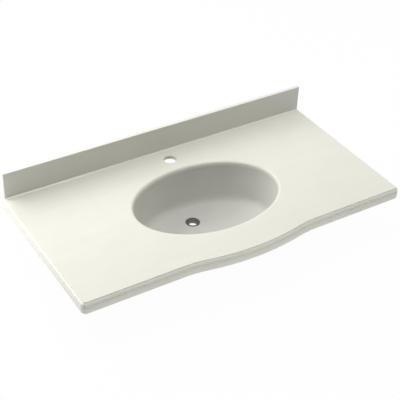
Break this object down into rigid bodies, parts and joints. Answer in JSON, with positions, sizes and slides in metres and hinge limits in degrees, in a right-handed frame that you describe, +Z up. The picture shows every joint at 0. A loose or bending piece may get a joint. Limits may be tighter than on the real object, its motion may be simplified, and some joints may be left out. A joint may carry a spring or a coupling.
{
  "type": "vanity sink top",
  "caption": "Bathroom vanity top with an undermounted oval bowl, a backsplash, a faucet hole and a front edge that bows out in the middle.",
  "frame": {"origin": "middle of the front rail's underside, on the plane where the top rests on its cabinet", "axes": "+X along the width to the right as seen from the front, +Y to the wall, +Z up"},
  "size_m": [1.0922, 0.5715, 0.2584],
  "materials": {
    "solid_surface": "satin",
    "seam_adhesive": "satin",
    "sealant": "satin",
    "dark_bronze": "satin",
    "black_rubber": "matte",
    "brass": "satin",
    "zinc_steel": "satin",
    "plywood": "matte"
  },
  "bodies": {
    "root": {"backsplash": "solid_surface", "backsplash_seal": "sealant", "bowl_clip_1": "zinc_steel", "bowl_clip_2": "zinc_steel", "bowl_clip_3": "zinc_steel", "bowl_clip_4": "zinc_steel", "bowl_clip_5": "zinc_steel", "bowl_clip_6": "zinc_steel", "bowl_seam_ring": "seam_adhesive", "bowl_shell": "solid_surface", "clip_insert_1": "brass", "clip_insert_2": "brass", "clip_insert_3": "brass", "clip_insert_4": "brass", "clip_insert_5": "brass", "clip_insert_6": "brass", "clip_screw_1": "zinc_steel", "clip_screw_2": "zinc_steel", "clip_screw_3": "zinc_steel", "clip_screw_4": "zinc_steel", "clip_screw_5": "zinc_steel", "clip_screw_6": "zinc_steel", "deck_panel": "solid_surface", "front_edge_strip": "solid_surface", "front_rail": "plywood", "left_brace": "plywood", "left_edge_strip": "solid_surface", "left_rail": "plywood", "left_rear_rail": "plywood", "right_brace": "plywood", "right_edge_strip": "solid_surface", "right_rail": "plywood", "right_rear_rail": "plywood", "waste_flange": "dark_bronze", "waste_gasket_lower": "black_rubber", "waste_gasket_upper": "black_rubber", "waste_locknut": "brass", "waste_washer": "brass"}
  },
  "joints": []
}
